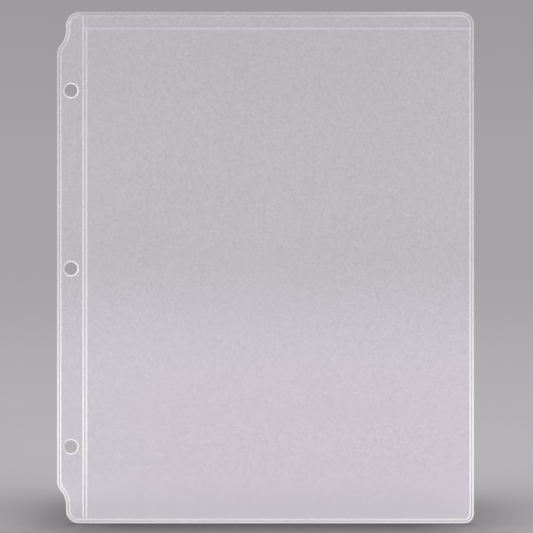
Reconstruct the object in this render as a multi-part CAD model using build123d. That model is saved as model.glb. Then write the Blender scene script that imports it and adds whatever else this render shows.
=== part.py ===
"""Clear vinyl sheet protector for a three-ring binder, standing upright as it is seen from the front.

Frame: X runs from the ring margin to the far side, Y from the front of the leaf to its back and Z up the row
of ring holes. The origin is the centre of the middle ring hole on the flat back face. Heights above the back
are measured from that face towards the front, which is -Y.
"""

import os

from build123d import *

# Outline of the leaf
leaf_width = 252.6
leaf_height = 310.0
left_corner_radius = 8.0
top_right_corner_radius = 7.6
bottom_right_corner_radius = 6.0

# The ring margin is waisted at both ends by an S-shaped step
waist_inset = 5.4
waist_step_height = 13.5
waist_step_from_end = 18.4
shoulder_radius = 7.5

# Ring holes: 5/16 inch holes, 4 1/4 inches apart, in a row that sits a little below the middle of the leaf
ring_hole_diameter = 7.94
ring_hole_spacing = 107.95
ring_hole_from_left = 8.4
ring_hole_drop = 0.6
rim_width = 0.75
rim_crown = 0.12

# Films
film_thickness = 0.25
pocket_gap = 0.2

# Welded seams: two raised beads and a thin groove between them
bead_width = 1.15
bead_crown = 0.3
groove_floor = 0.35
edge_groove_width = 0.5
fold_groove_width = 0.8
binding_seam_from_left = 16.85

# Mouth of the pocket, a slot in the front film with a rounded lip along its lower edge
mouth_from_top = 9.2
mouth_slot_width = 0.4
lip_height = 1.5
lip_crown = 0.2

# The middle of the front film swings out when the mouth opens, and the film flexes at both sides of it
swing_width = 90.0
flex_clearance = 0.1

# A rounded edge takes at most this share of the strip that it is on
round_share = 0.45

# Places worked out from the sizes above
left = -ring_hole_from_left
right = left + leaf_width
half_height = leaf_height / 2
top = ring_hole_drop + half_height
bottom = ring_hole_drop - half_height
hole_radius = ring_hole_diameter / 2
rim_radius = hole_radius + rim_width

margin_thickness = 2 * film_thickness
front_film_back = film_thickness + pocket_gap
front_film_face = front_film_back + film_thickness
bead_height = front_film_face + bead_crown

edge_seam_width = 2 * bead_width + edge_groove_width
fold_seam_width = 2 * bead_width + fold_groove_width
fold_x = left + binding_seam_from_left
fold_left = fold_x - fold_seam_width / 2
fold_right = fold_x + fold_seam_width / 2

inner_right = right - edge_seam_width
inner_top = top - edge_seam_width
inner_bottom = bottom + edge_seam_width
mouth_z = top - mouth_from_top
lip_z = mouth_z - mouth_slot_width / 2
header_z = mouth_z + mouth_slot_width / 2

pocket_middle_x = (fold_right + inner_right) / 2
swing_left = pocket_middle_x - swing_width / 2
swing_right = pocket_middle_x + swing_width / 2

# The step is two tangent arcs, the shoulder of the margin and the hollow of the waist. Its inset and height fix
# the sum of their radii, and the hollow takes what the shoulder leaves. Its ends are measured from the middle of
# the leaf, because both steps are alike.
step_radii = (waist_inset**2 + waist_step_height**2) / (2 * waist_inset)
step_low = half_height - waist_step_from_end - waist_step_height / 2
step_high = half_height - waist_step_from_end + waist_step_height / 2

front_side = Plane.XZ


def outline(inset):
    """The leaf's outline, drawn in from its edge by inset, as a face seen from the front."""
    bulge = left + inset
    waist = left + waist_inset + inset
    far = right - inset
    upper = half_height - inset
    lower = inset - half_height
    left_radius = left_corner_radius - inset
    upper_radius = top_right_corner_radius - inset
    lower_radius = bottom_right_corner_radius - inset

    # The step's two arcs meet on the line between their centres
    share = (shoulder_radius - inset) / step_radii
    meet_x = left + shoulder_radius + share * (waist_inset - step_radii)
    meet_z = step_low + share * waist_step_height

    up = (0, 1)
    down = (0, -1)
    edge = Line((bulge, -step_low), (bulge, step_low))
    edge += TangentArc((bulge, step_low), (meet_x, meet_z), tangent=up)
    edge += TangentArc((waist, step_high), (meet_x, meet_z), tangent=down)
    edge += Line((waist, step_high), (waist, upper - left_radius))
    edge += TangentArc((waist, upper - left_radius), (waist + left_radius, upper), tangent=up)
    edge += Line((waist + left_radius, upper), (far - upper_radius, upper))
    edge += TangentArc((far, upper - upper_radius), (far - upper_radius, upper), tangent=up)
    edge += Line((far, upper - upper_radius), (far, lower + lower_radius))
    edge += TangentArc((far, lower + lower_radius), (far - lower_radius, lower), tangent=down)
    edge += Line((far - lower_radius, lower), (waist + left_radius, lower))
    edge += TangentArc((waist, lower + left_radius), (waist + left_radius, lower), tangent=down)
    edge += Line((waist, lower + left_radius), (waist, -step_high))
    edge += TangentArc((waist, -step_high), (meet_x, -meet_z), tangent=up)
    edge += TangentArc((bulge, -step_low), (meet_x, -meet_z), tangent=down)
    return Pos(0, ring_hole_drop) * make_face(edge)


def panel(x_from, x_to, z_from, z_to):
    """An upright rectangle as a face seen from the front."""
    middle = ((x_from + x_to) / 2, (z_from + z_to) / 2)
    return Pos(*middle) * Rectangle(x_to - x_from, z_to - z_from)


def layer(face, back, front):
    """A face drawn from the front, thickened between two heights above the leaf's back."""
    return extrude(front_side.offset(back) * face, front - back)


def slab(x_from, x_to):
    """A block through the whole leaf between two places across it, to cut seams and films with."""
    return layer(panel(x_from, x_to, bottom, top), 0, bead_height)


def bead(face):
    """A raised bead on the given strip, with its front edges rounded over."""
    solid = layer(face, 0, bead_height)
    front_edges = solid.faces().sort_by(Axis.Y).first.edges()
    return fillet(front_edges, min(bead_crown, bead_width * round_share))


def edge_seam():
    """The seam round the whole outline: outer bead, groove, inner bead."""
    groove_outside = bead_width
    groove_inside = bead_width + edge_groove_width
    outer_bead = bead(outline(0) - outline(groove_outside))
    inner_bead = bead(outline(groove_inside) - outline(edge_seam_width))
    groove = layer(outline(groove_outside) - outline(groove_inside), 0, groove_floor)
    return outer_bead + groove + inner_bead


def binding_seam():
    """The seam between ring margin and pocket, from the edge seam below to the one above."""
    groove_left = fold_x - fold_groove_width / 2
    groove_right = fold_x + fold_groove_width / 2
    left_bead = bead(panel(fold_left, groove_left, inner_bottom, inner_top))
    right_bead = bead(panel(groove_right, fold_right, inner_bottom, inner_top))
    groove = layer(panel(groove_left, groove_right, inner_bottom, inner_top), 0, groove_floor)
    return left_bead + groove + right_bead


def margin_film(back):
    """One layer of the ring margin, cut out round the three fused rims."""
    face = outline(edge_seam_width) & panel(left, fold_left, bottom, top)
    for z in hole_heights.values():
        face -= Pos(0, z) * Circle(rim_radius)
    return layer(face, back, back + film_thickness)


def hole_rim(z):
    """The fused rim of a ring hole: a washer through both films, rounded over at the front."""
    washer = Pos(0, z) * (Circle(rim_radius) - Circle(hole_radius))
    solid = layer(washer, 0, margin_thickness + rim_crown)
    front_edges = solid.faces().sort_by(Axis.Y).first.edges()
    return fillet(front_edges, min(rim_crown, rim_width * round_share))


def pocket_film(z_from, z_to, back):
    """A film across the whole pocket between two heights up the leaf."""
    face = outline(edge_seam_width) & panel(fold_right, inner_right, z_from, z_to)
    return layer(face, back, back + film_thickness)


def front_film(x_from, x_to, z_from):
    """A stretch of the pocket's front film up to the mouth, with its rounded lip."""
    face = outline(edge_seam_width) & panel(x_from, x_to, z_from, lip_z)
    film = layer(face, front_film_back, front_film_face)
    lip = layer(panel(x_from, x_to, lip_z - lip_height, lip_z), front_film_back, front_film_face + lip_crown)
    front_edges = lip.faces().sort_by(Axis.Y).first.edges().filter_by(Axis.X)
    return film + fillet(front_edges, min(lip_crown, lip_height * round_share))


hole_heights = {"top": ring_hole_spacing, "middle": 0.0, "bottom": -ring_hole_spacing}

seam = edge_seam()

nodes = {
    "margin_back_film": margin_film(0),
    "margin_front_film": margin_film(film_thickness),
    "margin_edge_seam": seam & slab(left, fold_left),
    "fold_edge_seam": seam & slab(fold_left, fold_right),
    "binding_seam": binding_seam(),
    "pocket_edge_seam": seam & slab(fold_right, right),
    "pocket_back_film": pocket_film(inner_bottom, inner_top, 0),
    "header_film": pocket_film(header_z, inner_top, front_film_back),
    "front_film_left_side": front_film(fold_right, swing_left - flex_clearance, inner_bottom),
    "front_film_middle": front_film(swing_left, swing_right, inner_bottom + flex_clearance),
    "front_film_right_side": front_film(swing_right + flex_clearance, inner_right, inner_bottom),
}
for place, z in hole_heights.items():
    nodes["ring_hole_rim_" + place] = hole_rim(z)

os.makedirs("parts", exist_ok=True)
for name, solid in nodes.items():
    export_step(solid, "parts/" + name + ".step")
    print(name, round(solid.volume, 3), "mm3")

print("fold axis x", round(fold_x, 3), "height", round(bead_height / 2, 3))
front_film_middle_height = front_film_back + film_thickness / 2
print("mouth axis z", round(inner_bottom + flex_clearance, 3), "height", round(front_film_middle_height, 3))
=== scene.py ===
# %% [markdown]
# # A clear vinyl sheet protector
#
# A sheet protector is two sheets of clear vinyl, welded together round the edge and along a binding seam
# beside the ring holes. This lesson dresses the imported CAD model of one. The solids give the places and
# sizes, and every piece is modelled again here, because thin film, rounded weld beads and a fold that bends
# need finer meshes than solids.

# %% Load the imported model
import math

import bmesh
import bpy
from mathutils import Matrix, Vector


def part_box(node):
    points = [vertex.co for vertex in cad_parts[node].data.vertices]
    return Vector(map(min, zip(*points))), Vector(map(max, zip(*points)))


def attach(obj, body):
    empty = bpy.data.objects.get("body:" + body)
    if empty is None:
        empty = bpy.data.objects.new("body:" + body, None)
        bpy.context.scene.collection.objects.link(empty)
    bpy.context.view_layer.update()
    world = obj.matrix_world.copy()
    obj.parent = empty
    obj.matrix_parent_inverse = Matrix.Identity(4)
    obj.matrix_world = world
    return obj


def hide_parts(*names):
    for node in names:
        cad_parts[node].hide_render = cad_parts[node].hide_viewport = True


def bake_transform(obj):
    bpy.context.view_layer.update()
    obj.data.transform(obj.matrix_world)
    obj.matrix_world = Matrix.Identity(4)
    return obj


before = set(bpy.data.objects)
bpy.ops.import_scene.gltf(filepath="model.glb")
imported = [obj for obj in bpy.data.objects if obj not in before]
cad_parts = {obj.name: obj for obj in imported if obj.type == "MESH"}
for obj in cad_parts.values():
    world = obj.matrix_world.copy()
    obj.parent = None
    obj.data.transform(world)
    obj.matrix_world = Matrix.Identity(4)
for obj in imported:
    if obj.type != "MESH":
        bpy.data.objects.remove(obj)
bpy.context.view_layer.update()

print("nodes in the frame:", len(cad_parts))

# %% [markdown]
# ## Places and sizes
#
# The real leaf is a stack of a few tenths of a millimetre, so each place is read from the solids and not
# typed in again. Across the leaf is X and up the leaf is Z, both counted from the middle ring hole. Heights
# are counted from the flat back towards the front, which is -Y in the frame.

# %% Places across and up the leaf
MM = 0.001

edge_low, edge_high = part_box("pocket_edge_seam")
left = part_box("margin_edge_seam")[0].x
right = edge_high.x
bottom = edge_low.z
top = edge_high.z
leaf_middle_across = (left + right) / 2
leaf_middle_up = (bottom + top) / 2
half_width = (right - left) / 2
half_height = (top - bottom) / 2

fold_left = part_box("binding_seam")[0].x
fold_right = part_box("binding_seam")[1].x
fold_middle = (fold_left + fold_right) / 2
inner_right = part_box("front_film_right_side")[1].x
inner_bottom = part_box("pocket_back_film")[0].z
inner_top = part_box("pocket_back_film")[1].z
lip_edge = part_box("front_film_middle")[1].z
header_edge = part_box("header_film")[0].z
swing_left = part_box("front_film_middle")[0].x
swing_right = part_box("front_film_middle")[1].x
pocket_middle = (swing_left + swing_right) / 2
print("leaf", round((right - left) / MM, 1), "by", round((top - bottom) / MM, 1), "mm")

# %% Heights above the back, and the ring holes
bead_crown = -edge_low.y
back_film_face = -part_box("pocket_back_film")[0].y
front_film_face = -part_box("header_film")[0].y
front_film_back = -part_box("header_film")[1].y
margin_face = -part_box("margin_front_film")[0].y
rim_crown = -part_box("ring_hole_rim_middle")[0].y
rim_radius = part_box("ring_hole_rim_middle")[1].x
hole_places = {}
for place in ("top", "middle", "bottom"):
    hole_places[place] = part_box("ring_hole_rim_" + place)[1].z - rim_radius
print("beads stand", round(bead_crown / MM, 2), "mm above the back")

# %% [markdown]
# ## The bench
#
# All pieces are modelled lying on their back, as on a bench, and stood up when they are done. An operator
# acts on everything that is selected, so a few helpers come first. They leave old selections behind, choose
# points and edges by their place, and cut a piece along a plane.

# %% Select and cut
HAIR = 0.01 * MM
CUT_TOLERANCE = 1e-7
ACROSS = (1, 0, 0)
UP = (0, 1, 0)


def clear_selection():
    """Leave edit mode and every selection behind, so that the next operator acts on its own piece only."""
    if bpy.context.object and bpy.context.object.mode != "OBJECT":
        bpy.ops.object.mode_set(mode="OBJECT")
    bpy.ops.object.select_all(action="DESELECT")


def work_on(piece):
    """Make a piece the only selected one."""
    clear_selection()
    piece.select_set(True)
    bpy.context.view_layer.objects.active = piece


def choose(piece, kind, test):
    """In edit mode, select the vertices or the edges whose middle passes a test."""
    bpy.ops.mesh.select_mode(type=kind)
    bpy.ops.mesh.select_all(action="DESELECT")
    mesh = bmesh.from_edit_mesh(piece.data)
    for part in mesh.verts if kind == "VERT" else mesh.edges:
        ends = [part] if kind == "VERT" else part.verts
        middle = sum((end.co for end in ends), Vector()) / len(ends)
        if test(middle):
            part.select_set(True)
    mesh.select_flush_mode()
    bmesh.update_edit_mesh(piece.data)


def cut(place, direction, drop_behind=False, drop_ahead=False):
    """In edit mode, cut the whole piece along a plane, and drop one side of it if asked."""
    bpy.ops.mesh.select_all(action="SELECT")
    bpy.ops.mesh.bisect(
        plane_co=place, plane_no=direction, clear_inner=drop_behind, clear_outer=drop_ahead,
        threshold=CUT_TOLERANCE,
    )


# %% Start a piece and stand it up


def add_plate(name, across, up):
    """A flat rectangle on the bench between two places across and two places up the leaf, in edit mode."""
    clear_selection()
    bpy.ops.mesh.primitive_plane_add(size=1, location=(sum(across) / 2, sum(up) / 2, 0))
    plate = bpy.context.object
    plate.name = name
    plate.scale = (across[1] - across[0], up[1] - up[0], 1)
    bpy.ops.object.transform_apply(location=True, rotation=True, scale=True)
    bpy.ops.object.mode_set(mode="EDIT")
    return plate


def stand_up(piece, crease):
    """Turn a piece from the bench into the frame, so that up the leaf becomes Z and height becomes -Y.
    It is shaded smooth, except where its faces meet at more than the crease angle."""
    work_on(piece)
    bpy.ops.object.transform_apply(location=True, rotation=True, scale=True)
    piece.rotation_euler = (math.pi / 2, 0, 0)
    bpy.ops.object.transform_apply(location=True, rotation=True, scale=True)
    bpy.ops.object.shade_smooth_by_angle(angle=crease)


# %% [markdown]
# ## The outline
#
# Film and seam share one outline: a tall sheet with rounded corners, whose ring margin is waisted at both
# ends by an S-shaped step. A curve could draw it, but a face that is cut, extruded and rounded in edit mode
# can go on to be inset into weld beads. The step is two arcs that meet without a corner. Each arc starts as a
# sharp corner, and rounding it with the right reach makes the two arcs touch.

# %% Draw the outline as one flat face
CORNER_LEFT = 8.0 * MM
CORNER_TOP_RIGHT = 7.6 * MM
CORNER_BOTTOM_RIGHT = 6.0 * MM
CORNER_STEPS = 12
ROUND_PROFILE = 0.5
WAIST_INSET = 5.4 * MM
WAIST_STEP = 13.5 * MM
WAIST_FROM_END = 18.4 * MM
SHOULDER_RADIUS = 7.5 * MM
NEARLY_FLAT = math.radians(1)


def round_corner(plate, x, y, reach):
    """Round one corner of a face with an arc that starts and ends a reach away from the corner."""
    choose(plate, "VERT", lambda p: abs(p.x - x) < HAIR and abs(p.y - y) < HAIR)
    bpy.ops.mesh.bevel(
        affect="VERTICES", offset_type="OFFSET", offset=reach, segments=CORNER_STEPS, profile=ROUND_PROFILE,
        clamp_overlap=False,
    )


def trace_outline(name):
    """The leaf's outline as a face on the bench, selected and in edit mode."""
    waist = left + WAIST_INSET
    half_lean = WAIST_INSET / WAIST_STEP
    both_radii = (WAIST_INSET**2 + WAIST_STEP**2) / (2 * WAIST_INSET)
    shoulder_round = SHOULDER_RADIUS * half_lean
    hollow_round = (both_radii - SHOULDER_RADIUS) * half_lean
    shoulder_reach = half_height - WAIST_FROM_END - WAIST_STEP / 2 + shoulder_round
    hollow_reach = half_height - WAIST_FROM_END + WAIST_STEP / 2 - hollow_round

    plate = add_plate(name, (waist, right), (bottom, top))
    cut((0, leaf_middle_up + hollow_reach, 0), UP)
    cut((0, leaf_middle_up - hollow_reach, 0), UP)
    choose(plate, "EDGE", lambda p: p.x < waist + HAIR and abs(p.y - leaf_middle_up) < HAIR)
    bpy.ops.mesh.extrude_edges_move(TRANSFORM_OT_translate={"value": (-WAIST_INSET, 0, 0)})
    lean = shoulder_reach / hollow_reach
    bpy.ops.transform.resize(value=(1, lean, 1), center_override=(left, leaf_middle_up, 0))
    bpy.ops.mesh.select_all(action="SELECT")
    bpy.ops.mesh.dissolve_limited(angle_limit=NEARLY_FLAT)

    round_corner(plate, right, top, CORNER_TOP_RIGHT)
    round_corner(plate, right, bottom, CORNER_BOTTOM_RIGHT)
    for side in (1, -1):
        round_corner(plate, waist, leaf_middle_up + side * half_height, CORNER_LEFT)
        round_corner(plate, left, leaf_middle_up + side * shoulder_reach, shoulder_round)
        round_corner(plate, waist, leaf_middle_up + side * hollow_reach, hollow_round)
    bpy.ops.mesh.select_mode(type="FACE")
    bpy.ops.mesh.select_all(action="SELECT")
    return plate


# %% [markdown]
# ## The edge seam
#
# A heated die melts both films together along two lines, and the vinyl that it pushes aside sets as two
# rounded beads with a groove between them. Sweeping a profile along a curve would do it, but insetting the
# outline's face step by step, up over each bead and down into the groove, keeps every ring of the seam
# parallel to the edge at the corners.

# %% Profile of a weld bead
BEAD_WIDTH = 1.15 * MM
BEAD_FULLNESS = 3
BEAD_STEPS = 10
EDGE_GROOVE = 0.5 * MM
GROOVE_FLOOR = 0.35 * MM


def bead_profile(start):
    """Points across a rounded bead with a flat top, as (distance from the edge, height above the back)."""
    points = []
    for step in range(BEAD_STEPS + 1):
        across = -math.cos(math.pi * step / BEAD_STEPS)
        rise = (1 - abs(across) ** BEAD_FULLNESS) ** (1 / BEAD_FULLNESS)
        height = GROOVE_FLOOR + (bead_crown - GROOVE_FLOOR) * rise
        points.append((start + BEAD_WIDTH * (1 + across) / 2, height))
    return points


seam_profile = bead_profile(0) + bead_profile(BEAD_WIDTH + EDGE_GROOVE)
print("edge seam profile", len(seam_profile), "points,", round(seam_profile[-1][0] / MM, 2), "mm wide")

# %% Inset the outline along the profile
FOLD_STEPS = 14
SEAM_CREASE = math.radians(50)


def close_back():
    """In edit mode, give an open front surface a flat back at height 0 and walls down to it."""
    bpy.ops.mesh.select_all(action="SELECT")
    bpy.ops.mesh.extrude_region_move(TRANSFORM_OT_translate={"value": (0, 0, -bead_crown)})
    bpy.ops.transform.resize(value=(1, 1, 0), center_override=(0, 0, 0))
    bpy.ops.mesh.select_all(action="SELECT")
    bpy.ops.mesh.normals_make_consistent(inside=False)


def raise_profile(profile):
    """Step the selected face inwards and up along a profile, and drop the face that is left inside."""
    bpy.ops.transform.translate(value=(0, 0, profile[0][1]))
    for near, far in zip(profile, profile[1:]):
        bpy.ops.mesh.inset(thickness=far[0] - near[0], depth=far[1] - near[1])
    bpy.ops.mesh.delete(type="FACE")
    close_back()


fold_columns = [fold_left + (fold_right - fold_left) * step / FOLD_STEPS for step in range(FOLD_STEPS + 1)]

edge_seam = trace_outline("edge_seam")
raise_profile(seam_profile)
for x in fold_columns:
    cut((x, 0, 0), ACROSS)
stand_up(edge_seam, SEAM_CREASE)
print("edge seam faces", len(edge_seam.data.polygons))

# %% [markdown]
# ## The binding seam
#
# A second weld runs up the leaf between the ring margin and the pocket, and the leaf folds there. It could be
# inset as the edge seam is, but it is straight, so a strip is cut into narrow columns and each column is
# lifted to its height in the profile. Its ends are tucked into the edge seam.

# %% Lift a strip into two beads
END_TUCK = 0.5 * MM
binding_profile = bead_profile(fold_left) + bead_profile(fold_right - BEAD_WIDTH)
binding_columns = [x for x, height in binding_profile]

binding_ends = (inner_bottom - END_TUCK, inner_top + END_TUCK)
binding_seam = add_plate("binding_seam_beads", (fold_left, fold_right), binding_ends)
for x in binding_columns[1:-1]:
    cut((x, 0, 0), ACROSS)
for x, height in binding_profile:
    choose(binding_seam, "VERT", lambda p: abs(p.x - x) < HAIR)
    bpy.ops.transform.translate(value=(0, 0, height))
close_back()
stand_up(binding_seam, SEAM_CREASE)
print("binding seam faces", len(binding_seam.data.polygons))

# %% [markdown]
# ## The rims of the ring holes
#
# The punch that cuts a ring hole also melts the two films together round it, and the melted edge turns white
# and rolls over into the hole. A torus would be too round. One rim is inset from a disc in the way of the
# edge seam, and copied to the other holes.

# %% Model one rim and copy it
RIM_SIDES = 64
RIM_CREASE = math.radians(60)
# Distance from the rim's outer edge in mm, and height as a share of the rim's rise above the margin
RIM_PROFILE = [
    (0.0, -0.04), (0.08, 0.6), (0.2, 0.95), (0.32, 1.0),
    (0.46, 0.85), (0.6, 0.45), (0.7, -0.2), (0.75, -0.9),
]
rim_rise = rim_crown - margin_face

clear_selection()
bpy.ops.mesh.primitive_circle_add(
    vertices=RIM_SIDES, radius=rim_radius, fill_type="NGON", location=(0, 0, 0)
)
rim = bpy.context.object
rim.name = "hole_rim_middle"
bpy.ops.object.mode_set(mode="EDIT")
bpy.ops.mesh.select_mode(type="FACE")
bpy.ops.mesh.select_all(action="SELECT")
raise_profile([(inwards * MM, margin_face + share * rim_rise) for inwards, share in RIM_PROFILE])

rims = {"middle": rim}
for place in ("top", "bottom"):
    work_on(rim)
    bpy.ops.object.duplicate(linked=False)
    rims[place] = bpy.context.object
    rims[place].name = "hole_rim_" + place
    bpy.ops.transform.translate(value=(0, hole_places[place], 0))
for piece in rims.values():
    stand_up(piece, RIM_CREASE)
print("rims", sorted(piece.name for piece in rims.values()))

# %% [markdown]
# ## The films
#
# Each sheet is cut from flat vinyl. A plane would do for the flat look, but the leaf folds and its mouth
# opens, so every sheet is drawn in from the outline until its rim vanishes inside the weld, cut into a grid
# that can bend, and given its thickness with Solidify. A film that lies on another one keeps a hair's breadth
# away from it, because two see-through faces in the same place would flicker.

# %% Cut a film to shape
FILM_TUCK = 2.25 * MM
FILM_SEPARATION = 0.03 * MM
GRID = 6.0 * MM


def between(first, last, step):
    """Places from first to last, both left out, about a step apart."""
    count = max(1, round((last - first) / step))
    return [first + (last - first) * number / count for number in range(1, count)]


def cut_film(name, across, up, columns, rows, back, face):
    """A flat film between two heights above the back, trimmed to a rectangle of the leaf and gridded."""
    film = trace_outline(name)
    bpy.ops.mesh.inset(thickness=FILM_TUCK, depth=0)
    bpy.ops.mesh.select_all(action="INVERT")
    bpy.ops.mesh.delete(type="FACE")
    cut((across[0], 0, 0), ACROSS, drop_behind=True)
    cut((across[1], 0, 0), ACROSS, drop_ahead=True)
    cut((0, up[0], 0), UP, drop_behind=True)
    cut((0, up[1], 0), UP, drop_ahead=True)
    for x in columns:
        cut((x, 0, 0), ACROSS)
    for y in rows:
        cut((0, y, 0), UP)
    bpy.ops.mesh.select_all(action="SELECT")
    bpy.ops.transform.translate(value=(0, 0, back))
    bpy.ops.object.mode_set(mode="OBJECT")
    wall = film.modifiers.new("thickness", "SOLIDIFY")
    wall.thickness = face - back
    wall.offset = 1
    bpy.ops.object.modifier_apply(modifier=wall.name)
    return film


# %% [markdown]
# The ring holes go through both layers of the margin. A Boolean with a punch is nearest to the real work, and
# it leaves the rest of the film's grid alone. The hole in the film is a little smaller than the rim outside,
# so that the rim covers its edge.

# %% Punch the ring holes
HOLE_IN_FILM = rim_radius - 0.4 * MM
PUNCH_SIDES = 48
PUNCH_LENGTH = 10 * MM


def punch_holes(film):
    """Cut the three ring holes through a film."""
    for place in hole_places.values():
        clear_selection()
        bpy.ops.mesh.primitive_cylinder_add(
            vertices=PUNCH_SIDES, radius=HOLE_IN_FILM, depth=PUNCH_LENGTH, location=(0, place, 0)
        )
        punch = bpy.context.object
        work_on(film)
        hole = film.modifiers.new("hole", "BOOLEAN")
        hole.operation = "DIFFERENCE"
        hole.solver = "EXACT"
        hole.object = punch
        bpy.ops.object.modifier_apply(modifier=hole.name)
        work_on(punch)
        bpy.ops.object.delete()
    work_on(film)


# %% [markdown]
# A big sheet of vinyl is never quite flat. A bump in the finish could only pretend that, so a Displace
# modifier with a soft cloud texture gives the pocket's films slow waves of a few tenths of a millimetre. A
# vertex group fades the waves out towards the welds that hold the film, and both films get the same waves, so
# the pocket between them stays as thin as it is.

# %% Slow waves in the film
SLACK_REACH = 35 * MM
WAVE_HEIGHT = 0.9 * MM
WAVE_LENGTH = 85 * MM
film_waves = bpy.data.textures.new("film_waves", "CLOUDS")
film_waves.noise_scale = WAVE_LENGTH
film_waves.noise_depth = 1


def wave(film):
    """Let the free middle of a film wave gently, on the bench."""
    slack = film.vertex_groups.new(name="slack")
    for vertex in film.data.vertices:
        x, y = vertex.co.x, vertex.co.y
        reach = min(x - fold_right, inner_right - x, y - inner_bottom, inner_top - y)
        share = min(max(reach / SLACK_REACH, 0), 1)
        slack.add([vertex.index], share * share * (3 - 2 * share), "REPLACE")
    work_on(film)
    waves = film.modifiers.new("waves", "DISPLACE")
    waves.texture = film_waves
    waves.texture_coords = "LOCAL"
    waves.direction = "Z"
    waves.mid_level = 0.5
    waves.strength = WAVE_HEIGHT
    waves.vertex_group = slack.name
    bpy.ops.object.modifier_apply(modifier=waves.name)
    film.vertex_groups.clear()


# %% Back film, margin film and header film
FILM_CREASE = math.radians(40)
margin_columns = between(left, fold_left, GRID / 2)
pocket_columns = between(fold_right, pocket_middle, GRID) + [pocket_middle]
pocket_columns += between(pocket_middle, inner_right, GRID)
leaf_rows = between(bottom, top, GRID)

back_film = cut_film(
    "back_film", across=(left, right), up=(bottom, top),
    columns=margin_columns + fold_columns + pocket_columns,
    rows=leaf_rows, back=FILM_SEPARATION, face=back_film_face,
)
punch_holes(back_film)
wave(back_film)
stand_up(back_film, FILM_CREASE)

margin_film = cut_film(
    "margin_front_film_layer", across=(left, fold_left + END_TUCK), up=(bottom, top), columns=margin_columns,
    rows=leaf_rows, back=back_film_face + FILM_SEPARATION, face=margin_face,
)
punch_holes(margin_film)
stand_up(margin_film, FILM_CREASE)

header_film = cut_film(
    "header_strip", across=(fold_right - END_TUCK, right), up=(header_edge, top), columns=pocket_columns,
    rows=[], back=front_film_back, face=front_film_face,
)
stand_up(header_film, FILM_CREASE)
for film in (back_film, margin_film, header_film):
    print(film.name, len(film.data.polygons), "faces")

# %% [markdown]
# The front film opens at the mouth, a slot near the top. Along the slot its edge is rolled into a rounded
# lip, which catches the light as a faint pale line. The film bends from the welds on both sides up to its
# free middle. One piece can bend only one way between two bodies, so the film is made in two halves that meet
# in the middle.

# %% Profile of the rolled lip
LIP_HEIGHT = 1.5 * MM
LIP_CROWN = 0.2 * MM
LIP_STEPS = 8

lip_profile = []
for step in range(LIP_STEPS + 1):
    turn = math.pi * step / LIP_STEPS
    lip_profile.append((lip_edge - LIP_HEIGHT * (1 - math.cos(turn)) / 2, LIP_CROWN * math.sin(turn)))
front_rows = [row for row in leaf_rows if row < lip_edge - 2 * LIP_HEIGHT]
front_rows += [row for row, rise in lip_profile[1:]]
print("front film rows", len(front_rows))

# %% Front film in two halves


def front_half(name, x_from, x_to):
    """One half of the pocket's front film, with the lip lifted along its upper edge."""
    film = cut_film(
        name, across=(x_from, x_to), up=(bottom, lip_edge),
        columns=[x for x in pocket_columns if x_from + HAIR < x < x_to - HAIR],
        rows=front_rows, back=front_film_back, face=front_film_face,
    )
    bpy.ops.object.mode_set(mode="EDIT")
    middle_height = (front_film_back + front_film_face) / 2
    for row, rise in lip_profile[1:-1]:
        choose(film, "VERT", lambda p: abs(p.y - row) < HAIR and p.z > middle_height)
        bpy.ops.transform.translate(value=(0, 0, rise))
    bpy.ops.object.mode_set(mode="OBJECT")
    wave(film)
    stand_up(film, FILM_CREASE)
    return film


front_left = front_half("front_film_left_half", fold_right - END_TUCK, pocket_middle)
front_right = front_half("front_film_right_half", pocket_middle, right)
print("front film faces", len(front_left.data.polygons) + len(front_right.data.polygons))

# %% [markdown]
# ## A place that stays with the film
#
# Haze and grain are in the vinyl and move with it. A pattern on Object coordinates would slide over a film
# that bends, and a UV map would have to be laid out for each piece. So each piece keeps the place where its
# points are at rest in an attribute, and the finishes read that.

# %% Store the resting place
REST = "rest_place"
films = [back_film, margin_film, header_film, front_left, front_right]
seams = [edge_seam, binding_seam]
pieces = films + seams + list(rims.values())
for piece in pieces:
    resting = piece.data.attributes.new(REST, "FLOAT_VECTOR", "POINT")
    resting.data.foreach_set("vector", [number for vertex in piece.data.vertices for number in vertex.co])
print("resting places stored on", len(pieces), "pieces")

# %% [markdown]
# ## Writing finishes as sums
#
# A finish is a web of nodes. It reads best as a formula, so one small class lets a node's output take part in
# Python maths, and one method adds any other node from its type, its settings and its inputs.

# %% Node maths


class Signal:
    """An output of a node. Maths on it adds Math nodes."""

    def __init__(self, finish, socket):
        self.finish = finish
        self.socket = socket

    def maths(self, operation, *values):
        return self.finish.node("ShaderNodeMath", {"operation": operation}, dict(enumerate(values)))

    def __add__(self, other):
        return self.maths("ADD", self, other)

    def __radd__(self, other):
        return self.maths("ADD", other, self)

    def __sub__(self, other):
        return self.maths("SUBTRACT", self, other)

    def __rsub__(self, other):
        return self.maths("SUBTRACT", other, self)

    def __mul__(self, other):
        return self.maths("MULTIPLY", self, other)

    def __rmul__(self, other):
        return self.maths("MULTIPLY", other, self)

    def __pow__(self, other):
        return self.maths("POWER", self, other)

    def __abs__(self):
        return self.maths("ABSOLUTE", self)

    def or_larger(self, other):
        """This value or the other one, whichever is larger."""
        return self.maths("MAXIMUM", self, other)

    def part(self, name):
        """Another output of the same node."""
        return Signal(self.finish, self.socket.node.outputs[name])


# %% Node trees


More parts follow.
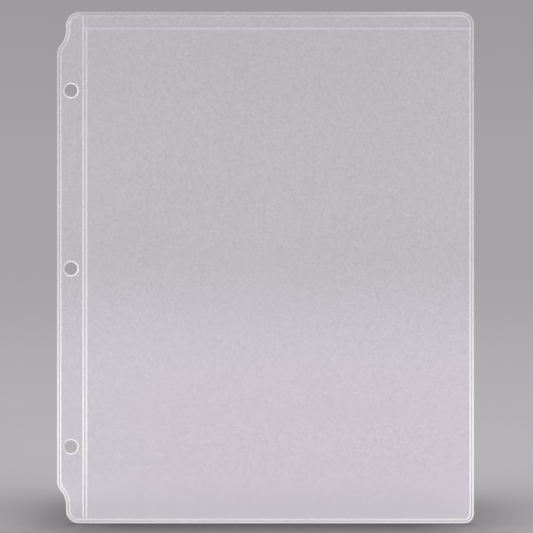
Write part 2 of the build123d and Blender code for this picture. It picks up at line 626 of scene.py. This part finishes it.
class Finish:
    """A node tree that is filled node by node."""

    def __init__(self, tree):
        self.tree = tree
        self.tree.nodes.clear()

    def node(self, kind, settings, inputs, output=0):
        """Add a node: its settings first, then the values or links of its inputs."""
        made = self.tree.nodes.new(kind)
        for name, value in settings.items():
            setattr(made, name, value)
        for name, value in inputs.items():
            if isinstance(value, Signal):
                self.tree.links.new(value.socket, made.inputs[name])
            else:
                made.inputs[name].default_value = value
        return Signal(self, made.outputs[output]) if made.outputs else None

    def ramp(self, value, low, high):
        """0 below low, 1 above high and a smooth rise between them. Low may be above high."""
        return self.node(
            "ShaderNodeMapRange", {"interpolation_type": "SMOOTHSTEP"},
            {"Value": value, "From Min": low, "From Max": high, "To Min": 0.0, "To Max": 1.0},
        )

    def noise(self, place, scale, detail):
        return self.node("ShaderNodeTexNoise", {}, {"Vector": place, "Scale": scale, "Detail": detail})

    def blend_colours(self, share, first, second):
        """The first colour where share is 0, and the second where it is 1."""
        return self.node("ShaderNodeMix", {"data_type": "RGBA"}, {0: share, 6: first, 7: second}, 2)

    def vector(self, operation, *vectors, output=0):
        return self.node("ShaderNodeVectorMath", {"operation": operation}, dict(enumerate(vectors)), output)

    def parts(self, vector):
        """The X, Y and Z of a vector."""
        first = self.node("ShaderNodeSeparateXYZ", {}, {"Vector": vector}, "X")
        return first, first.part("Y"), first.part("Z")

    def stored(self, name):
        """A vector that a mesh keeps in an attribute."""
        return self.node("ShaderNodeAttribute", {"attribute_name": name}, {}, "Vector")


def new_finish(name):
    """An empty finish and the material that wears it."""
    material = bpy.data.materials.new(name)
    material.use_nodes = True
    return Finish(material.node_tree), material


# %% [markdown]
# ## Clear vinyl
#
# Vinyl film is clear, but a faint milky haze and the mirror of its surface keep it visible. Glass shaders
# would ask for many bounces and make dark shadows. A Transparent shader mixed with a little milky Principled
# gives the haze, and a Glossy shader on top, weighed by how steeply the surface is seen, gives the mirror.
# The mirror's weight is worked out from Facing, because the Fresnel node would turn the inside of the film
# into a full mirror.

# %% Layers that all vinyl finishes share
VINYL_IOR = 1.53
MIRROR_AHEAD = 0.04
WHITE = (1, 1, 1, 1)


def clear_vinyl(finish, haze, colour, roughness, relief, relief_depth):
    """Haze over a clear body, under a mirror that grows as the surface turns away from the eye."""
    normal = finish.node(
        "ShaderNodeBump", {}, {"Strength": 1.0, "Distance": relief_depth, "Height": relief}
    )
    clear = finish.node("ShaderNodeBsdfTransparent", {}, {"Color": WHITE})
    milky = finish.node(
        "ShaderNodeBsdfPrincipled", {},
        {"Base Color": colour, "Roughness": roughness, "IOR": VINYL_IOR, "Normal": normal},
    )
    gloss = finish.node(
        "ShaderNodeBsdfGlossy", {}, {"Color": WHITE, "Roughness": roughness, "Normal": normal}
    )
    facing = finish.node("ShaderNodeLayerWeight", {}, {"Blend": 0.5}, "Facing")
    mirror = MIRROR_AHEAD + (1 - MIRROR_AHEAD) * facing**5
    body = finish.node("ShaderNodeMixShader", {}, {0: haze, 1: clear, 2: milky})
    surface = finish.node("ShaderNodeMixShader", {}, {0: mirror, 1: body, 2: gloss})
    finish.node("ShaderNodeOutputMaterial", {}, {"Surface": surface})


def resting_place(finish):
    """The place at rest, and its parts across, through and up the leaf."""
    place = finish.stored(REST)
    return place, *finish.parts(place)


# %% [markdown]
# ## Film finish
#
# From the middle of the leaf down the film is painted milkier, most of all near its foot and at the ends of
# that foot. This is painted light: it stands in for the brighter light low on the leaf, and it lifts the
# floor's painted shade where that shows through the foot. The haze is a sum of soft ramps up the leaf.
# Each pair of places here says where a ramp starts and where it is full.

# %% Film finish: where the film is milky
GRAIN_SCALE = 700.0
GRAIN_DETAIL = 3.0
FILM_CLOUD_SCALE = 14.0
CLOUD_DETAIL = 2.0
LOWER_HALF = (12 * MM, -62 * MM)
DEEP = (-50 * MM, -130 * MM)
FOOT = (bottom + 40 * MM, bottom + 10 * MM)
FOOT_ENDS = (half_width - 55 * MM, half_width - 5 * MM)
MARGIN_SHARE = 0.8
FILM_HAZE = 0.0715
LOWER_LIGHT_HAZE = 0.045
DEEP_LIGHT_HAZE = 0.006
FOOT_LIGHT_HAZE = 0.046
FOOT_END_LIGHT_HAZE = 0.043

film_finish, film_material = new_finish("clear_vinyl_film")
place, across, through, up = resting_place(film_finish)
grain = film_finish.noise(place, GRAIN_SCALE, GRAIN_DETAIL)
cloud = film_finish.noise(place, FILM_CLOUD_SCALE, CLOUD_DETAIL)
pocket_side = film_finish.ramp(across, fold_left, fold_right)
lower = film_finish.ramp(up, *LOWER_HALF) * (MARGIN_SHARE + (1 - MARGIN_SHARE) * pocket_side)
deep = film_finish.ramp(up, *DEEP)
foot = film_finish.ramp(up, *FOOT)
foot_ends = film_finish.ramp(abs(across - leaf_middle_across), *FOOT_ENDS) * foot * foot
# Painted light: the film is painted milkier from the middle down, at its foot and at the ends of its foot.
haze_with_painted_light = FILM_HAZE + LOWER_LIGHT_HAZE * lower + DEEP_LIGHT_HAZE * deep
haze_with_painted_light = haze_with_painted_light + FOOT_LIGHT_HAZE * foot + FOOT_END_LIGHT_HAZE * foot_ends

# %% [markdown]
# The rolled lip is seen edge on and looks paler than the film. Its paleness is partly the lip's own and
# partly a painted highlight for the light that it catches. The paleness is kept to the front film, between
# the binding seam and the far side, because the back film runs behind it at the same height.

# %% Film finish: the pale lip
LIP_FOOT = (lip_edge - LIP_HEIGHT - 0.2 * MM, lip_edge - 0.6 * LIP_HEIGHT)
LIP_END = (lip_edge + 0.35 * MM, lip_edge + 0.05 * MM)
FRONT_LAYER = (-0.4 * MM, -0.45 * MM)
POCKET_START = (fold_right, fold_right + 0.5 * MM)
LIP_HIGHLIGHT_HAZE = 0.12

lip = film_finish.ramp(up, *LIP_FOOT) * film_finish.ramp(up, *LIP_END)
lip = lip * film_finish.ramp(through, *FRONT_LAYER) * film_finish.ramp(across, *POCKET_START)
# Partly a painted highlight: the lip is painted paler than the film with extra haze.
haze_with_painted_light = haze_with_painted_light + LIP_HIGHLIGHT_HAZE * lip
print("film haze starts at", FILM_HAZE, "and the lip adds", LIP_HIGHLIGHT_HAZE)

# %% [markdown]
# Fine grain breaks the haze up. It is stronger low in the leaf, where the film is seen against the even
# floor, and calmer again at the foot. Low in the pocket the film is tinted lavender, more so away from the
# binding seam.

# %% Film finish: grain, tint and layers
LOW_DOWN = (-88 * MM, -100 * MM)
LAVENDER_START = (-22 * MM, -86 * MM)
LAVENDER_END = (-154 * MM, -125 * MM)
LAVENDER_ACROSS = (fold_right - 40 * MM, fold_right + 90 * MM)
LAVENDER_CLOUDS = (0.35, 0.65)
FILM_TINT = (0.895, 0.861, 0.953, 1)
FOOT_LIGHT_TINT = (0.955, 0.93, 0.985, 1)
LAVENDER_TINT = (0.92, 0.822, 0.97, 1)
FILM_GRAIN = 0.115
LOWER_GRAIN = 0.07
LOW_DOWN_GRAIN = 0.12
FOOT_CALM = 0.6
CLOUD_HAZE = 0.014
NOISE_MIDDLE = 0.5
FILM_RELIEF = 0.01 * MM

grain_share = FILM_GRAIN + LOWER_GRAIN * lower + LOW_DOWN_GRAIN * film_finish.ramp(up, *LOW_DOWN)
grain_share = grain_share * (1 - FOOT_CALM * foot)
haze = haze_with_painted_light + grain_share * (grain - NOISE_MIDDLE) + CLOUD_HAZE * (cloud - NOISE_MIDDLE)
lavender = film_finish.ramp(up, *LAVENDER_START) * film_finish.ramp(up, *LAVENDER_END) * pocket_side
lavender = lavender * film_finish.ramp(across, *LAVENDER_ACROSS)
lavender = lavender * (0.8 + 0.2 * film_finish.ramp(cloud, *LAVENDER_CLOUDS))
film_roughness = 0.1 + 0.12 * grain
# Painted light: the film's foot is painted a paler tint.
film_colour = film_finish.blend_colours(foot, FILM_TINT, FOOT_LIGHT_TINT)
film_colour = film_finish.blend_colours(lavender, film_colour, LAVENDER_TINT)
clear_vinyl(film_finish, haze, film_colour, film_roughness, grain + 12 * cloud, FILM_RELIEF)
print(film_material.name, len(film_finish.tree.nodes), "nodes")

# %% [markdown]
# ## Seam finish
#
# Heat whitens the vinyl. A bead is thicker and milkier than the film, and the groove beside it is clearer.
# The beads are not alike all round the leaf, and much of that is painted light and shade: they are painted
# white low down and dull near the top, darker still along the top run towards the binding seam, and fainter
# along the bottom, less so towards the far side. The runs along the bottom and round the waist are paler
# between the beads. A second material for each run would show a joint, so one material blends them by their
# place.

# %% Seam finish: the runs of the seam
SEAM_CLOUD_SCALE = 60.0
BEAD_SIDE = (-0.38 * MM, -0.7 * MM)
TOP_RUN = (inner_top - 0.1 * MM, inner_top + 0.1 * MM)
BOTTOM_RUN = (inner_bottom + 3 * MM, inner_bottom - 0.5 * MM)
FAR_SIDE = (120 * MM, 235 * MM)
WAIST_UP = (half_height - 26 * MM, half_height - 16 * MM)
WAIST_ACROSS = (fold_left, fold_left - 3 * MM)
BELOW_TOP = (150 * MM, 20 * MM)
LOW_LIT_BEADS = (20 * MM, -140 * MM)

seam_finish, seam_material = new_finish("welded_vinyl_seam")
place, across, through, up = resting_place(seam_finish)
grain = seam_finish.noise(place, GRAIN_SCALE, GRAIN_DETAIL)
cloud = seam_finish.noise(place, SEAM_CLOUD_SCALE, CLOUD_DETAIL)
bead = seam_finish.ramp(through, *BEAD_SIDE)
top_run = seam_finish.ramp(up, *TOP_RUN)
bottom_run = seam_finish.ramp(up, *BOTTOM_RUN)
far_side = seam_finish.ramp(across, *FAR_SIDE)
waist_run = seam_finish.ramp(abs(up - leaf_middle_up), *WAIST_UP) * seam_finish.ramp(across, *WAIST_ACROSS)
below_top = seam_finish.ramp(up, *BELOW_TOP)
low_light_share = seam_finish.ramp(up, *LOW_LIT_BEADS)
print("bead crowns from", round(-BEAD_SIDE[1] / MM, 2), "mm above the back")

# %% [markdown]
# Above the mouth the binding seam's right bead hardly shows. It is made clearer there and not lower, so that
# the seam keeps its shape.

# %% Seam finish: the faint bead beside the header
ABOVE_MOUTH = (lip_edge, header_edge + 0.4 * MM)
RIGHT_BEAD_START = (fold_middle - 0.1 * MM, fold_middle + 0.1 * MM)
RIGHT_BEAD_END = (fold_right + 1 * MM, fold_right + 0.5 * MM)
BELOW_EDGE_SEAM = (inner_top + 0.6 * MM, inner_top)

faint = seam_finish.ramp(across, *RIGHT_BEAD_START) * seam_finish.ramp(across, *RIGHT_BEAD_END)
faint = faint * seam_finish.ramp(up, *ABOVE_MOUTH) * seam_finish.ramp(up, *BELOW_EDGE_SEAM)

# %% Seam finish: haze, tint and layers
SEAM_TINT = (0.95, 0.94, 0.97, 1)
SEAM_CLOUD_TINT = (0.97, 0.97, 0.97, 1)
HIGH_SEAM_SHADE_TINT = (0.79, 0.78, 0.81, 1)
TOP_RUN_SHADE_TINT = (0.74, 0.73, 0.76, 1)
BEAD_HAZE = 0.235
LOW_BEAD_LIGHT_HAZE = 0.55
GROOVE_HAZE = 0.075
SEAM_GRAIN = 0.02
FAINT_LOSS = 0.65
SEAM_RELIEF = 0.004 * MM

# Painted light and shade: beads are painted whiter low down and fainter along the bottom run.
bead_haze = (BEAD_HAZE + LOW_BEAD_LIGHT_HAZE * low_light_share) * (1 - bottom_run * (0.45 - 0.2 * far_side))
bead_haze = bead_haze * (1 - 0.35 * waist_run * low_light_share)
groove_haze = GROOVE_HAZE + 0.02 * below_top + 0.055 * low_light_share + 0.08 * bottom_run + 0.1 * waist_run
haze = groove_haze + bead_haze * bead + SEAM_GRAIN * (grain + cloud - 2 * NOISE_MIDDLE)
haze = haze * (1 - FAINT_LOSS * faint)
seam_colour = seam_finish.blend_colours(cloud, SEAM_TINT, SEAM_CLOUD_TINT)
# Painted shade: the seam is painted a duller grey near the top, and darker along the top run.
seam_colour = seam_finish.blend_colours(below_top + top_run * far_side, HIGH_SEAM_SHADE_TINT, seam_colour)
seam_colour = seam_finish.blend_colours(top_run * (1 - far_side), seam_colour, TOP_RUN_SHADE_TINT)
seam_roughness = 0.2 + 0.1 * grain
clear_vinyl(seam_finish, haze, seam_colour, seam_roughness, grain + 4 * cloud, SEAM_RELIEF)
print(seam_material.name, len(seam_finish.tree.nodes), "nodes")

# %% [markdown]
# ## Rim finish
#
# The fused rim of a ring hole is nearly white. On top of that, light and shade are painted on it: it is
# painted clearer on the side of the leaf's edge, where it is shaded, and whiter at the lower holes, where the
# light is brighter. Plain white plastic would hide that, so it is vinyl with a strong haze.

# %% Rim finish
RIM_GRAIN_SCALE = 900.0
RIM_CLOUD_SCALE = 250.0
LIT_SIDE = (-0.95 * rim_radius, -0.1 * rim_radius)
LOWER_LIT_HOLES = (90 * MM, -130 * MM)
RIM_TINT = (0.95, 0.95, 0.96, 1)
RIM_CLOUD_TINT = (0.98, 0.98, 0.98, 1)
RIM_HAZE = 0.22
RIM_GRAIN = 0.1
RIM_RELIEF = 0.01 * MM

rim_finish, rim_material = new_finish("fused_hole_rim")
place, across, _, up = resting_place(rim_finish)
grain = rim_finish.noise(place, RIM_GRAIN_SCALE, GRAIN_DETAIL)
cloud = rim_finish.noise(place, RIM_CLOUD_SCALE, CLOUD_DETAIL)
# Painted shade and light: the rim is painted clearer on its shaded side and whiter at the lower holes.
painted_light_share = (0.6 + 0.18 * rim_finish.ramp(up, *LOWER_LIT_HOLES)) * rim_finish.ramp(across, *LIT_SIDE)
haze = RIM_HAZE + painted_light_share + RIM_GRAIN * (grain + cloud - 2 * NOISE_MIDDLE)
rim_colour = rim_finish.blend_colours(cloud, RIM_TINT, RIM_CLOUD_TINT)
rim_roughness = 0.15 + 0.15 * grain
clear_vinyl(rim_finish, haze, rim_colour, rim_roughness, grain, RIM_RELIEF)
print(rim_material.name, len(rim_finish.tree.nodes), "nodes")

# %% Dress the pieces
for group, material, slot in (
    (films, film_material, "clear_film"),
    (seams, seam_material, "welded_seam"),
    (list(rims.values()), rim_material, "hole_rim"),
):
    for piece in group:
        piece.data.materials.clear()
        piece.data.materials.append(material)
    print(material.name, "on", len(group), "pieces")

# %% [markdown]
# ## Motion
#
# The rims, the margin's front layer and the header strip move with one body each. Film and seam that cross
# the fold would have to bend between ring margin and pocket, and the front film bends out from the pocket
# when the mouth opens, so none of these is tied to a body here; their places are baked into their meshes.

# %% Tie the rims, the margin layer and the header strip to their bodies, and bake the rest
for piece in (back_film, edge_seam, binding_seam):
    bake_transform(piece)
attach(margin_film, "ring_margin")
for piece in rims.values():
    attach(piece, "ring_margin")
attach(header_film, "pocket")
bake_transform(front_left)
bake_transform(front_right)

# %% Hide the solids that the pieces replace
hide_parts("margin_back_film", "pocket_back_film")
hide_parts("margin_front_film")
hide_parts("header_film")
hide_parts("front_film_left_side", "front_film_middle")
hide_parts("front_film_right_side")
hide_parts("margin_edge_seam", "fold_edge_seam", "pocket_edge_seam")
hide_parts("binding_seam")
for place, piece in rims.items():
    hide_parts("ring_hole_rim_" + place)
print(len(pieces), "pieces stand for", len(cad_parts), "solids")

# %% [markdown]
# The films are sheets: the back is cut to the whole outline, and the front is cut into the pieces made here.

# %% [markdown]
# ## Floor
#
# The leaf stands on a pale grey floor that fades into a grey room, so there is no horizon behind the clear
# film. A plain plane would do for the fading, but the shade needs measures that are stored in the floor's
# points, so it is a grid.

# %% Floor
FLOOR_SIZE = 3.2
FLOOR_CELLS = 320
leaf_foot = (leaf_middle_across, 0, bottom)

clear_selection()
bpy.ops.mesh.primitive_grid_add(
    x_subdivisions=FLOOR_CELLS, y_subdivisions=FLOOR_CELLS, size=FLOOR_SIZE, location=leaf_foot
)
floor = bpy.context.object
floor.name = "floor"
bpy.ops.object.transform_apply(location=True, rotation=True, scale=True)
print("floor", FLOOR_SIZE, "m wide, in", len(floor.data.polygons), "cells")

# %% [markdown]
# A clear leaf hardly casts a shadow, so a soft dark shade is painted into the floor's colour in front of it
# and round its ends. Painted by the floor's own places alone it would stay behind when the leaf folds, so
# Geometry Nodes on the floor measure the way from the leaf's edge to each place on the floor, and the painted
# shade goes where the leaf goes.

# %% Measure the way from the leaf
WAY = "way_from_leaf"
way_tree = bpy.data.node_groups.new("way_from_leaf", "GeometryNodeTree")
for direction in ("INPUT", "OUTPUT"):
    way_tree.interface.new_socket("Floor", in_out=direction, socket_type="NodeSocketGeometry")
measure = Finish(way_tree)
bare_floor = measure.node("NodeGroupInput", {}, {})
leaf_edge = measure.node(
    "GeometryNodeObjectInfo", {"transform_space": "RELATIVE"}, {"Object": edge_seam}, "Geometry"
)
nearest = measure.node("GeometryNodeProximity", {"target_element": "FACES"}, {0: leaf_edge}, "Position")
way = measure.vector("SUBTRACT", measure.node("GeometryNodeInputPosition", {}, {}), nearest)
measured_floor = measure.node(
    "GeometryNodeStoreNamedAttribute", {"data_type": "FLOAT_VECTOR", "domain": "POINT"},
    {"Geometry": bare_floor, "Name": WAY, "Value": way},
)
measure.node("NodeGroupOutput", {}, {0: measured_floor})
floor.modifiers.new("way_from_leaf", "NODES").node_group = way_tree
print("floor measures its way from", edge_seam.name)

# %% [markdown]
# ## Floor finish
#
# The floor is painted a little darker round the foot of the leaf, a pool of painted shade that is longer
# along the leaf than away from it, and deeper behind it than in front. On top of that comes the painted
# shade: one part in front of the leaf, and one part past both of its ends. Each part is a product of soft
# ramps on the measured way.

# %% Floor finish: places on the floor
ALONG_LEAF = (0.45, 1, 1)
FADE = (1.2, 0.3)
POOL = (280 * MM, 30 * MM)
POOL_BEHIND = (-20 * MM, 120 * MM)
POOL_IN_FRONT = 0.45

floor_finish, floor_material = new_finish("pale_grey_floor")
spot = floor_finish.node("ShaderNodeTexCoord", {}, {}, "Object")
from_foot = floor_finish.vector("SUBTRACT", spot, leaf_foot)
far = floor_finish.vector("LENGTH", from_foot, output="Value")
pool_way = floor_finish.vector("MULTIPLY", from_foot, ALONG_LEAF)
from_pool = floor_finish.vector("LENGTH", pool_way, output="Value")
foot_across, foot_behind, _ = floor_finish.parts(from_foot)
way_across, behind, _ = floor_finish.parts(floor_finish.stored(WAY))
beside = abs(foot_across)
past = abs(way_across)
fade = floor_finish.ramp(far, *FADE)
shade_pool = floor_finish.ramp(from_pool, *POOL)
shade_pool = shade_pool * (POOL_IN_FRONT + (1 - POOL_IN_FRONT) * floor_finish.ramp(foot_behind, *POOL_BEHIND))
print("floor fades out", FADE[0], "m from the leaf's foot")

# %% Floor finish: shade in front of the leaf
BEFORE_LEAF = (3 * MM, -1 * MM)
FRONT_FADE = (-66 * MM, 15 * MM)
FRONT_PAST = (25 * MM, 0)
INSIDE = (half_width + 5 * MM, half_width - 48 * MM)
FRONT_SHADE = 0.6

front_shade = floor_finish.ramp(behind, *BEFORE_LEAF) * floor_finish.ramp(behind, *FRONT_FADE)
front_shade = front_shade * floor_finish.ramp(past, *FRONT_PAST) * floor_finish.ramp(beside, *INSIDE)

# %% Floor finish: shade past the ends
END_PAST = (55 * MM, -25 * MM)
END_BEHIND = (215 * MM, 50 * MM)
END_FRONT = (-36 * MM, 0)
PAST_END = (half_width - 55 * MM, half_width + 2 * MM)
PAST_END_IN_FRONT = (half_width - 12 * MM, half_width + 9 * MM)
IN_FRONT = (2 * MM, -10 * MM)
LEFT_END_SHADE = 0.56
RIGHT_END_SHADE = 0.385

end_shade = floor_finish.ramp(past, *END_PAST) * floor_finish.ramp(behind, *END_BEHIND)
end_shade = end_shade * floor_finish.ramp(behind, *END_FRONT)
right_share = floor_finish.ramp(foot_across, -half_width, half_width)
end_shade = end_shade * (LEFT_END_SHADE - (LEFT_END_SHADE - RIGHT_END_SHADE) * right_share)
past_end = floor_finish.ramp(beside, *PAST_END)
in_front = floor_finish.ramp(behind, *IN_FRONT)
end_share = past_end + in_front * (floor_finish.ramp(beside, *PAST_END_IN_FRONT) - past_end)
shade = FRONT_SHADE * front_shade + end_shade * end_share
print("shade in front", FRONT_SHADE, "and at the ends", LEFT_END_SHADE, RIGHT_END_SHADE)

# %% [markdown]
# The leaf stays bright above the dark shade, and a floor that is dark all over would throw back too little
# light for that. So the floor has its own colour where it is looked at, also in a mirror and through
# something clear, and an even, paler one for the light that it throws back. Far from the leaf it turns clear,
# and the room shows.

# %% Floor finish: colours
FLOOR_COLOUR = (0.314, 0.3, 0.314, 1)
SHADE_POOL_COLOUR = (0.235, 0.226, 0.235, 1)
BOUNCE_COLOUR = (0.41, 0.4, 0.41, 1)
BLACK = (0, 0, 0, 1)


def looked_at(finish):
    """1 where the eye meets a surface directly, in a mirror or through something clear, and otherwise 0."""
    ray = finish.node("ShaderNodeLightPath", {}, {}, "Is Camera Ray")
    return ray.or_larger(ray.part("Is Glossy Ray")).or_larger(ray.part("Is Transmission Ray"))


# Painted shade: the pool round the leaf's foot is painted darker.
floor_colour = floor_finish.blend_colours(shade_pool, FLOOR_COLOUR, SHADE_POOL_COLOUR)
# Painted shade: the floor is painted towards black where the shade lies.
floor_colour = floor_finish.blend_colours(shade, floor_colour, BLACK)
floor_colour = floor_finish.blend_colours(looked_at(floor_finish), BOUNCE_COLOUR, floor_colour)
clear = floor_finish.node("ShaderNodeBsdfTransparent", {}, {"Color": WHITE})
matt = floor_finish.node("ShaderNodeBsdfDiffuse", {}, {"Color": floor_colour})
surface = floor_finish.node("ShaderNodeMixShader", {}, {0: fade, 1: clear, 2: matt})
floor_finish.node("ShaderNodeOutputMaterial", {}, {"Surface": surface})
floor.data.materials.append(floor_material)
print(floor_material.name, len(floor_finish.tree.nodes), "nodes")

# %% [markdown]
# ## Room, lamps and camera
#
# A room is soft light from all sides. Where it is looked at, it shows grey walls with painted light and
# shade: painted darker upwards and paler below the horizon, which a single colour could not give. The light
# itself is plain white.

# %% Room light
ROOM_LIGHT = 0.5
HIGH_WALL = (0.05, 0.135)
BELOW_HORIZON = (0.01, -0.075)
WALL_COLOUR = (0.379, 0.366, 0.379, 1)
HIGH_WALL_SHADE_COLOUR = (0.337, 0.327, 0.34, 1)
LOW_WALL_LIGHT_COLOUR = (0.456, 0.434, 0.456, 1)

world = bpy.data.worlds.new("soft_room")
bpy.context.scene.world = world
world.use_nodes = True
room = Finish(world.node_tree)
direction = room.node("ShaderNodeTexCoord", {}, {}, "Generated")
_, _, height = room.parts(direction)
# Painted light and shade: the walls are painted darker upwards and paler below the horizon.
wall_colour = room.blend_colours(room.ramp(height, *HIGH_WALL), WALL_COLOUR, HIGH_WALL_SHADE_COLOUR)
wall_colour = room.blend_colours(room.ramp(height, *BELOW_HORIZON), wall_colour, LOW_WALL_LIGHT_COLOUR)
soft = room.node("ShaderNodeBackground", {}, {"Color": WHITE, "Strength": ROOM_LIGHT})
wall = room.node("ShaderNodeBackground", {}, {"Color": wall_colour, "Strength": 1.0})
surface = room.node("ShaderNodeMixShader", {}, {0: looked_at(room), 1: soft, 2: wall})
room.node("ShaderNodeOutputWorld", {}, {"Surface": surface})
print(world.name, len(room.tree.nodes), "nodes")

# %% [markdown]
# Three large lamps give the beads something to reflect. Two stand in front at the sides, out of the way of
# the mirror that the flat film is. The third hangs high behind the leaf, where a mirror image of it would
# only be a glare in the film, so it is left out of reflections.

# %% Lamps
LEAF_AIM = (0.12, 0, -0.03)
FLOOR_AIM = (0.12, 0, -0.1)


def soft_lamp(name, place, aim, size, power):
    """A square softbox that points at a place and doesn't show itself."""
    clear_selection()
    bpy.ops.object.light_add(type="AREA", location=place)
    lamp = bpy.context.object
    lamp.name = name
    lamp.data.size = size
    lamp.data.energy = power
    lamp.rotation_euler = (Vector(aim) - Vector(place)).to_track_quat("-Z", "Y").to_euler()
    lamp.visible_camera = False
    print(name, power, "W")
    return lamp


soft_lamp("left_lamp", place=(-1.25, -1.7, 0.25), aim=LEAF_AIM, size=1.3, power=22)
soft_lamp("right_lamp", place=(1.45, -1.7, 0.25), aim=LEAF_AIM, size=1.3, power=19)
back_lamp = soft_lamp("high_back_lamp", place=(0.2, 0.75, 1.35), aim=FLOOR_AIM, size=1.0, power=26)
back_lamp.visible_glossy = False

# %% [markdown]
# The leaf is seen square from the front, from far away: its edges stay parallel and the ring holes show no
# inner wall. A flat projection would do that, but views from the side would lose their depth, so the camera
# has a long lens.

# %% Camera
FRAME_WIDTH = 323.1 * MM
LENS = 135.0
SENSOR = 36.0
VIEW_ACROSS = 118.5 * MM
VIEW_UP = 1.35 * MM
NEAREST_SEEN = 0.01
CLEAR_LAYERS = 32
distance = FRAME_WIDTH * LENS / SENSOR

clear_selection()
bpy.ops.object.camera_add(location=(VIEW_ACROSS, -distance, VIEW_UP), rotation=(math.pi / 2, 0, 0))
camera = bpy.context.object
camera.data.lens = LENS
camera.data.sensor_width = SENSOR
camera.data.clip_start = NEAREST_SEEN
bpy.context.scene.camera = camera
bpy.context.scene.view_settings.view_transform = "Standard"
bpy.context.scene.cycles.transparent_max_bounces = CLEAR_LAYERS
print("camera", round(distance, 3), "m from the leaf")
